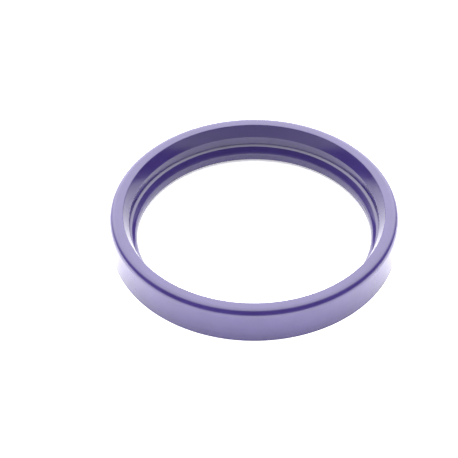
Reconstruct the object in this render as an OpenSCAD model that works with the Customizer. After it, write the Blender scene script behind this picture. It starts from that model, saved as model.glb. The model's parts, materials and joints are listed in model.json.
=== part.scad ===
// Backup ring, moulded in one piece from translucent violet polyurethane.
// Millimetres. +Z is up: the ring lies on its lower face, with its axis on Z.

/* [Ring] */
// Diameter of the bore
bore_d = 61; // [40:0.2:120]
// Width of the section, from the bore to the outer wall
section_w = 7; // [6:0.1:12]
// Height from the lower face to the upper face
height = 10; // [8:0.5:20]

/* [Lead-in cone] */
// Depth of the cone, from the upper face down to the straight inner wall
cone_h = 3.2; // [2:0.1:4.5]
// Angle between the cone and the axis
cone_angle = 24; // [15:1:36]

/* [Lip] */
// Width of the lip, from the bore to the straight inner wall
lip_w = 2; // [1.8:0.1:2.9]
// Height of the lip at the straight inner wall, above the lower face
lip_h = 4.4; // [3.6:0.1:4.8]
// Width of the ledge between the straight inner wall and the lip's crest
ledge_w = 0.7; // [0.4:0.1:1]
// Slope of the ledge, down towards the crest
ledge_slope = 25; // [10:1:35]
// Slope of the lip, from its crest down towards the bore
lip_slope = 45; // [40:1:55]

/* [Edges] */
// Rounding of the upper outer edge
rim_round = 1.8; // [0.3:0.1:2]
// Rounding of the edge between the upper face and the cone
land_round = 0.3; // [0.1:0.1:1]
// Rounding of the edge between the cone and the straight inner wall
cone_round = 0.4; // [0.1:0.1:1]
// Fillet between the straight inner wall and the ledge
ledge_fillet = 0.1; // [0.1:0.1:0.4]
// Rounding of the lip's crest
crest_round = 0.3; // [0.1:0.1:1]
// Rounding between the lip and the bore
lip_round = 2; // [0.5:0.1:2.2]
// Rounding of the bore's lower edge
bore_round = 1; // [0.2:0.1:1.5]
// Rounding of the outer wall's lower edge
foot_round = 0.3; // [0.1:0.1:1]

/* [Hidden] */
$fn = 180;

bore_r = bore_d / 2;
outer_r = bore_r + section_w;
wall_r = bore_r + lip_w;
// Radius at which the cone meets the upper face
land_r = wall_r + cone_h * tan(cone_angle);

// Corners of the half section, radius across and height up
bore_foot = [bore_r, 0];
outer_foot = [outer_r, 0];
rim = [outer_r, height];
land_edge = [land_r, height];
cone_foot = [wall_r, height - cone_h];
lip_root = [wall_r, lip_h];
crest = lip_root - ledge_w * [1, tan(ledge_slope)];
lip_foot = crest - (lip_w - ledge_w) * [1, tan(lip_slope)];

// Directions along the section's sides
up = [0, 1];
out = [1, 0];
up_cone = [sin(cone_angle), cos(cone_angle)];
up_ledge = [cos(ledge_slope), sin(ledge_slope)];
up_lip = [cos(lip_slope), sin(lip_slope)];

// The sliver between a corner and the arc that rounds it: the corner's sides leave along a and b
module sliver(corner, a, b, r) {
    half_angle = acos(a * b) / 2;
    reach = r / tan(half_angle);
    centre = corner + (a + b) / norm(a + b) * r / sin(half_angle);
    difference() {
        polygon([corner, corner + a * reach, centre, corner + b * reach]);
        translate(centre) circle(r = r);
    }
}

// Half section: its outer corners are rounded off, and the corner above the ledge is filled
module section() {
    difference() {
        polygon([bore_foot, outer_foot, rim, land_edge, cone_foot, lip_root, crest, lip_foot]);
        sliver(rim, -out, -up, rim_round);
        sliver(land_edge, out, -up_cone, land_round);
        sliver(cone_foot, up_cone, -up, cone_round);
        sliver(crest, up_ledge, -up_lip, crest_round);
        sliver(lip_foot, up_lip, -up, lip_round);
        sliver(bore_foot, out, up, bore_round);
        sliver(outer_foot, -out, up, foot_round);
    }
    sliver(lip_root, up, -up_ledge, ledge_fillet);
}

module ring() {
    color([0.58, 0.54, 0.78]) rotate_extrude() section();
}

ring();
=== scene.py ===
import json
import math

import bmesh
import bpy
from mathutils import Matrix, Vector


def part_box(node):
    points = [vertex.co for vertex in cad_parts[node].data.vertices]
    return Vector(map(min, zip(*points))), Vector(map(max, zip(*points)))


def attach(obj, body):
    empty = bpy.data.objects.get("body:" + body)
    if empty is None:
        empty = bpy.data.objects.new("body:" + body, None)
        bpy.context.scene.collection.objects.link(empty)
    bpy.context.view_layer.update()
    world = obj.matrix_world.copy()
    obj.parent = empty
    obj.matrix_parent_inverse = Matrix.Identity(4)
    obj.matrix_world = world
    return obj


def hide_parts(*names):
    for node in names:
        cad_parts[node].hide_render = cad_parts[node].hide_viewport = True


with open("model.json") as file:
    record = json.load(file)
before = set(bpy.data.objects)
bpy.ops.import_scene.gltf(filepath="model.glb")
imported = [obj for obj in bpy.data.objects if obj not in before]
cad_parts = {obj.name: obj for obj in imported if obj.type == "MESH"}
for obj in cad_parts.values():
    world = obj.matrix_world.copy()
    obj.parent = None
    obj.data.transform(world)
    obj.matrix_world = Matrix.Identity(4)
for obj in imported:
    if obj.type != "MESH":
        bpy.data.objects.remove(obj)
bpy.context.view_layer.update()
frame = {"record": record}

# The backup ring. One piece of violet polyurethane, moulded between two polished steel halves: a straight
# outer wall with a round upper edge, a narrow flat land, a lead-in cone, and a round lip inside.
# It starts as a plain disc that is opened through the middle, and its edges are rounded last.
MM = 0.001
TOUCH = 0.002 * MM
AROUND = 720
mounts = {mount["name"]: mount for mount in frame["record"]["mounts"]}
upper_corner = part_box("ring")[1]
ring_r = upper_corner[0]
ring_h = upper_corner[2]
bore_r = mounts["bore"]["dims"]["r_mm"] * MM
cone_h = 3.2 * MM
cone_angle = math.radians(24)
lip_w = 2 * MM
lip_h = 4.4 * MM
ledge_w = 0.7 * MM
ledge_slope = math.radians(25)
lip_slope = math.radians(45)
rim_round = 1.8 * MM
land_round = 0.3 * MM
cone_round = 0.4 * MM
ledge_fillet = 0.1 * MM
crest_round = 0.3 * MM
lip_round = 2 * MM
bore_round = 1 * MM
foot_round = 0.3 * MM
wall_r = bore_r + lip_w
land_r = wall_r + cone_h * math.tan(cone_angle)
crest_r = wall_r - ledge_w
crest_h = lip_h - ledge_w * math.tan(ledge_slope)
lip_edge_h = crest_h - (crest_r - bore_r) * math.tan(lip_slope)


def pick(kind, test):
    """Selects the edges or faces of the mesh in hand whose corners all pass a test on radius and height."""
    bpy.ops.mesh.select_all(action="DESELECT")
    bpy.ops.mesh.select_mode(type=kind)
    mesh = bmesh.from_edit_mesh(bpy.context.object.data)
    for item in mesh.edges if kind == "EDGE" else mesh.faces:
        item.select_set(all(test(corner.co.xy.length, corner.co.z) for corner in item.verts))
    bmesh.update_edit_mesh(bpy.context.object.data)


def push_down(depth, from_r, to_r):
    """Extrudes the selected disc straight down and narrows it from one radius to another."""
    bpy.ops.mesh.extrude_region_move(TRANSFORM_OT_translate={"value": (0, 0, -depth)})
    bpy.ops.transform.resize(value=(to_r / from_r, to_r / from_r, 1), center_override=(0, 0, 0))


def round_circle(radius, height, rounding, between, steps):
    """Rounds the circular edge at this radius and height, whose two faces meet at the angle between."""
    pick("EDGE", lambda r, z: abs(r - radius) < TOUCH and abs(z - height) < TOUCH)
    reach = rounding / math.tan(between / 2)
    bpy.ops.mesh.bevel(offset_type="OFFSET", offset=reach, segments=steps, profile=0.5, clamp_overlap=False)


bpy.ops.object.select_all(action="DESELECT")
bpy.ops.mesh.primitive_cylinder_add(vertices=AROUND, radius=ring_r, depth=ring_h, location=(0, 0, ring_h / 2))
ring = bpy.context.object
ring.name = "moulded_ring"
bpy.ops.object.transform_apply(location=True, rotation=True, scale=True)
bpy.ops.object.mode_set(mode="EDIT")

# The inner side, pushed down through the disc from its upper face: cone, straight wall, ledge, lip and bore
pick("FACE", lambda r, z: z > ring_h - TOUCH)
bpy.ops.mesh.inset(thickness=ring_r - land_r, depth=0)
push_down(cone_h, land_r, wall_r)
push_down(ring_h - cone_h - lip_h, wall_r, wall_r)
push_down(lip_h - crest_h, wall_r, crest_r)
push_down(crest_h - lip_edge_h, crest_r, bore_r)
push_down(lip_edge_h, bore_r, bore_r)
pick("FACE", lambda r, z: z < TOUCH)
bpy.ops.mesh.delete(type="ONLY_FACE")
pick("EDGE", lambda r, z: z < TOUCH)
bpy.ops.mesh.bridge_edge_loops()

# The edges, each rounded as the mould's corners are
SQUARE = math.pi / 2
round_circle(ring_r, ring_h, rim_round, SQUARE, 14)
round_circle(land_r, ring_h, land_round, SQUARE + cone_angle, 6)
round_circle(wall_r, ring_h - cone_h, cone_round, 2 * SQUARE - cone_angle, 8)
round_circle(wall_r, lip_h, ledge_fillet, SQUARE + ledge_slope, 3)
round_circle(crest_r, crest_h, crest_round, 2 * SQUARE + ledge_slope - lip_slope, 4)
round_circle(bore_r, lip_edge_h, lip_round, SQUARE + lip_slope, 10)
round_circle(bore_r, 0, bore_round, SQUARE, 10)
round_circle(ring_r, 0, foot_round, SQUARE, 6)
bpy.ops.mesh.select_all(action="SELECT")
bpy.ops.mesh.remove_doubles(threshold=TOUCH / 10)
bpy.ops.mesh.normals_make_consistent(inside=False)
bpy.ops.object.mode_set(mode="OBJECT")
bpy.ops.object.shade_smooth_by_angle(angle=math.radians(30))
bpy.ops.object.modifier_add(type="WEIGHTED_NORMAL")
bpy.context.object.modifiers[-1].keep_sharp = True
bpy.ops.object.modifier_apply(modifier=bpy.context.object.modifiers[-1].name)

# The polyurethane: a deep violet melt, a little cloudy, with the smooth skin of a polished mould
polyurethane = bpy.data.materials.new("violet_polyurethane")
polyurethane.use_nodes = True
nodes = polyurethane.node_tree.nodes
links = polyurethane.node_tree.links
skin = nodes["Principled BSDF"]
skin.inputs["IOR"].default_value = 1.6
place = nodes.new("ShaderNodeTexCoord")
clouds = nodes.new("ShaderNodeTexNoise")
clouds.inputs["Scale"].default_value = 140
clouds.inputs["Detail"].default_value = 3
links.new(place.outputs["Object"], clouds.inputs["Vector"])
tones = nodes.new("ShaderNodeValToRGB")
tones.color_ramp.elements[0].position = 0.3
tones.color_ramp.elements[0].color = (0.038, 0.023, 0.13, 1)
tones.color_ramp.elements[1].position = 0.7
tones.color_ramp.elements[1].color = (0.045, 0.029, 0.15, 1)
links.new(clouds.outputs["Fac"], tones.inputs["Fac"])
links.new(tones.outputs["Color"], skin.inputs["Base Color"])
grain = nodes.new("ShaderNodeTexNoise")
grain.inputs["Scale"].default_value = 900
grain.inputs["Detail"].default_value = 4
links.new(place.outputs["Object"], grain.inputs["Vector"])
polish = nodes.new("ShaderNodeMapRange")
polish.inputs["To Min"].default_value = 0.08
polish.inputs["To Max"].default_value = 0.16
links.new(grain.outputs["Fac"], polish.inputs["Value"])
links.new(polish.outputs["Result"], skin.inputs["Roughness"])
relief = nodes.new("ShaderNodeBump")
relief.inputs["Strength"].default_value = 0.1
relief.inputs["Distance"].default_value = 0.01 * MM
links.new(grain.outputs["Fac"], relief.inputs["Height"])
links.new(relief.outputs["Normal"], skin.inputs["Normal"])
ring.data.materials.clear()
ring.data.materials.append(polyurethane)
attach(ring, "root")
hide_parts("ring")

# The stage: a plain sheet of white paper a hair below the ring, with a painted glow: it gives off light that
# stands in for the light the paper throws back onto the ring's walls, and it glows dimmer inside the ring as
# painted shade where the ring keeps light off it
hair = 0.02 * MM
bpy.ops.mesh.primitive_plane_add(size=6, location=(0, 0, -hair))
floor = bpy.context.object
floor.name = "floor"
paper = bpy.data.materials.new("white_paper_painted_glow")
paper.use_nodes = True
paper_nodes = paper.node_tree.nodes
paper_links = paper.node_tree.links
paper_skin = paper_nodes["Principled BSDF"]
paper_skin.inputs["Base Color"].default_value = (0.95, 0.95, 0.95, 1)
paper_skin.inputs["Roughness"].default_value = 0.9
paper_skin.inputs["Specular IOR Level"].default_value = 0
# Painted glow: the paper gives off white light though it is no lamp
paper_skin.inputs["Emission Color"].default_value = (1, 1, 1, 1)
spot = paper_nodes.new("ShaderNodeTexCoord")
from_axis = paper_nodes.new("ShaderNodeVectorMath")
from_axis.operation = "LENGTH"
paper_links.new(spot.outputs["Object"], from_axis.inputs[0])
# Painted shade in the glow: weaker inside the ring, where the ring keeps light off the paper, and stronger
# round it
painted_glow_and_shade = paper_nodes.new("ShaderNodeMapRange")
painted_glow_and_shade.inputs["From Min"].default_value = bore_r
painted_glow_and_shade.inputs["From Max"].default_value = 1.3 * ring_r
painted_glow_and_shade.inputs["To Min"].default_value = 0.5
painted_glow_and_shade.inputs["To Max"].default_value = 2.2
paper_links.new(from_axis.outputs["Value"], painted_glow_and_shade.inputs["Value"])
paper_links.new(painted_glow_and_shade.outputs["Result"], paper_skin.inputs["Emission Strength"])
floor.data.materials.append(paper)

# The studio: a wide bright field above and behind the ring, a pale haze at the horizon and darkness in
# front. The camera itself sees a plain pale backdrop
surround = bpy.data.worlds.new("surround")
bpy.context.scene.world = surround
surround.use_nodes = True
air = surround.node_tree.nodes
wires = surround.node_tree.links
sky = air["Background"]
sky.inputs["Color"].default_value = (1, 1, 1, 1)
heading = air.new("ShaderNodeTexCoord")
towards = air.new("ShaderNodeVectorMath")
towards.operation = "DOT_PRODUCT"
bright_az = math.radians(-4)
bright_el = math.radians(52)
towards.inputs[1].default_value = (
    math.sin(bright_az) * math.cos(bright_el),
    math.cos(bright_az) * math.cos(bright_el),
    math.sin(bright_el),
)
wires.new(heading.outputs["Generated"], towards.inputs[0])
fade = air.new("ShaderNodeMapRange")
fade.interpolation_type = "SMOOTHSTEP"
fade.inputs["From Min"].default_value = 0.45
fade.inputs["From Max"].default_value = 0.85
fade.inputs["To Min"].default_value = 0.1
fade.inputs["To Max"].default_value = 4.7
wires.new(towards.outputs["Value"], fade.inputs["Value"])
upward = air.new("ShaderNodeSeparateXYZ")
wires.new(heading.outputs["Generated"], upward.inputs["Vector"])
haze = air.new("ShaderNodeMapRange")
haze.inputs["From Max"].default_value = 0.3
haze.inputs["To Min"].default_value = 1.4
haze.inputs["To Max"].default_value = 0
wires.new(upward.outputs["Z"], haze.inputs["Value"])
room = air.new("ShaderNodeMath")
room.operation = "ADD"
wires.new(fade.outputs["Result"], room.inputs[0])
wires.new(haze.outputs["Result"], room.inputs[1])
ray = air.new("ShaderNodeLightPath")
shown = air.new("ShaderNodeMix")
shown.data_type = "FLOAT"
shown.inputs["B"].default_value = 1.2
wires.new(ray.outputs["Is Camera Ray"], shown.inputs["Factor"])
wires.new(room.outputs["Value"], shown.inputs["A"])
wires.new(shown.outputs["Result"], sky.inputs["Strength"])
bpy.context.scene.view_settings.view_transform = "Standard"

# The camera: about half a metre away and 42.5 degrees above the floor. It is framed as in the photograph,
# where the ring's upper face has its centre and its radius at these pixels
elevation = math.radians(42.55)
distance = 12.5 * ring_r
photo_side = 458
ring_radius_px = 145
ring_centre_px = (254.1, 209.1)
sensor = 36
back = Vector((0, -math.cos(elevation), math.sin(elevation)))
bpy.ops.object.camera_add(location=Vector((0, 0, ring_h)) + back * distance)
camera = bpy.context.object
camera.rotation_euler = (-back).to_track_quat("-Z", "Y").to_euler()
camera.data.sensor_width = sensor
camera.data.lens = sensor * distance / ring_r * ring_radius_px / photo_side
camera.data.shift_x = 0.5 - ring_centre_px[0] / photo_side
camera.data.shift_y = ring_centre_px[1] / photo_side - 0.5
camera.data.clip_start = 0.01
bpy.context.scene.camera = camera
